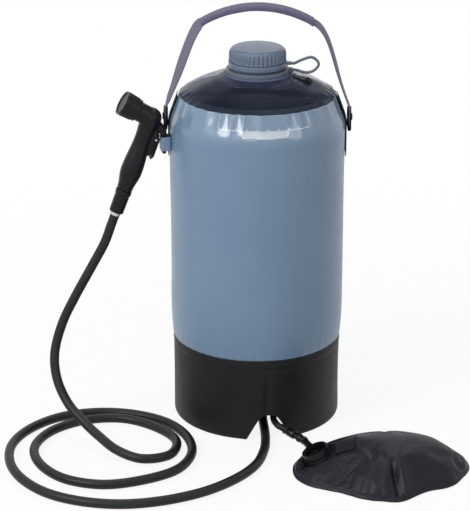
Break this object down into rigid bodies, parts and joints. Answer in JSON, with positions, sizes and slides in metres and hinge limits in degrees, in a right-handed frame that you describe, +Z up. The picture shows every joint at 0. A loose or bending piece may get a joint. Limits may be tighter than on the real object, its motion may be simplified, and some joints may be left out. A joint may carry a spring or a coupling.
{
  "type": "camp shower pump",
  "caption": "Standing soft pressure tank with a clear top, tethered screw cap and webbing handle, a hand sprayer hung on its side with a coiled hose, and a pillow-shaped foot pump.",
  "frame": {"origin": "on the tank's axis at the ground, in the plane of the base skirt's lower edge", "axes": "+Z up along the tank's axis, +X to the pump's side on the right, -Y to the front where the hoses leave the base"},
  "size_m": [0.582, 0.4145, 0.5432],
  "materials": {
    "tank_fabric": "matt coated fabric",
    "clear_film": "clear film",
    "weld_film": "satin",
    "base_plastic": "satin, fine grain",
    "slate_plastic": "satin",
    "grey_plastic": "satin",
    "black_tape": "woven tape",
    "black_plastic": "satin",
    "webbing": "woven webbing",
    "grip_fabric": "padded sleeve",
    "steel": "bright",
    "valve_plastic": "smooth",
    "rubber": "matt",
    "hose_rubber": "satin",
    "pump_fabric": "coated fabric",
    "foam": "open foam"
  },
  "bodies": {
    "tank": {"tank_wall": "tank_fabric", "tank_window": "clear_film", "window_weld": "weld_film", "tank_floor": "base_plastic", "base_skirt": "base_plastic", "filler_neck": "slate_plastic", "tether_collar": "grey_plastic", "cap_tether": "grey_plastic", "dome_tab": "black_tape", "anchor_tape_left": "black_tape", "anchor_tape_right": "black_tape", "anchor_fold_left": "black_tape", "anchor_fold_right": "black_tape", "anchor_rivet_left": "black_plastic", "anchor_rivet_right": "black_plastic", "handset_loop": "tank_fabric", "shower_hose": "hose_rubber", "air_hose": "hose_rubber", "water_outlet": "black_plastic", "outlet_nut": "black_plastic", "air_inlet": "black_plastic", "air_nut": "black_plastic", "check_valve": "rubber", "hose_clamps": "steel", "coupling_socket": "black_plastic", "coupling_plug": "black_plastic", "pump_outlet": "black_plastic", "pump_bottom_panel": "pump_fabric", "pump_foam": "foam"},
    "cap_carrier": {"cap_swivel_ring": "slate_plastic"},
    "cap": {"filler_cap": "slate_plastic", "cap_gasket": "rubber"},
    "handle": {"handle_webbing": "webbing", "handle_grip": "grip_fabric"},
    "handset": {"handset_body": "black_plastic", "trigger_pin": "steel", "trigger_spring": "steel"},
    "spray": {"spray_ring": "black_plastic", "spray_face": "black_plastic"},
    "trigger": {"trigger": "black_plastic"},
    "valve": {"valve_stem": "valve_plastic", "valve_seal": "rubber"},
    "hose_nut": {"hose_nut": "black_plastic", "hose_ferrule": "steel"},
    "pump_crown": {"pump_top_panel": "pump_fabric", "pump_tab": "black_tape"},
    "intake": {"intake_ring": "black_plastic", "ring_loops": "black_plastic"},
    "flap": {"intake_flap": "rubber"}
  },
  "joints": [
    {"name": "cap_lift", "type": "slide", "parent": "tank", "child": "cap_carrier", "axis": [0, 0, 1], "range_m": [0, 0.00899]},
    {"name": "cap_turn", "type": "hinge", "parent": "cap_carrier", "child": "cap", "pos_m": [0, 0, 0.47], "axis": [0, 0, 1], "range_deg": [0, 540]},
    {"name": "handle_swing", "type": "hinge", "parent": "tank", "child": "handle", "pos_m": [0, 0, 0.4], "axis": [1, 0, 0], "range_deg": [-80, 45]},
    {"name": "handset_lift", "type": "slide", "parent": "tank", "child": "handset", "axis": [0, 0, 1], "range_m": [0, 0.05]},
    {"name": "spray_turn", "type": "hinge", "parent": "handset", "child": "spray", "pos_m": [-0.13278, -0.02944, 0.4065], "axis": [-0.8324, -0.1845, 0.5225], "range_deg": [-60, 60]},
    {"name": "trigger_press", "type": "hinge", "parent": "handset", "child": "trigger", "pos_m": [-0.12796, -0.02837, 0.3789], "axis": [-0.2164, 0.9763, 0], "range_deg": [0, 6.5]},
    {"name": "valve_push", "type": "slide", "parent": "handset", "child": "valve", "axis": [-0.9115, -0.2021, 0.3584], "range_m": [0, 0.0015], "stiffness_N_per_m": 400, "springref_m": -0.002, "deforming": ["trigger_spring"]},
    {"name": "hose_swivel", "type": "hinge", "parent": "handset", "child": "hose_nut", "pos_m": [-0.17301, -0.03836, 0.29914], "axis": [-0.3499, -0.0776, -0.9336], "continuous": true},
    {"name": "pump_press", "type": "slide", "parent": "tank", "child": "pump_crown", "axis": [0, 0, -1], "range_m": [0, 0.018], "stiffness_N_per_m": 2200, "springref_m": -0.002, "deforming": ["pump_top_panel", "pump_foam"]},
    {"name": "intake_sink", "type": "slide", "parent": "tank", "child": "intake", "axis": [0, 0, -1], "range_m": [0, 0.0086]},
    {"name": "flap_open", "type": "hinge", "parent": "intake", "child": "flap", "pos_m": [0.06459, -0.199, 0.02012], "axis": [0, 1, 0], "range_deg": [0, 35], "stiffness_Nm_per_rad": 0.002, "springref_deg": -8.59}
  ],
  "couplings": [
    {"joint": "cap_turn", "follows": "cap_lift", "rad_per_m": 1047.2},
    {"joint": "trigger_press", "follows": "valve_push", "rad_per_m": 70.5},
    {"joint": "intake_sink", "follows": "pump_press", "ratio": 0.47778}
  ]
}
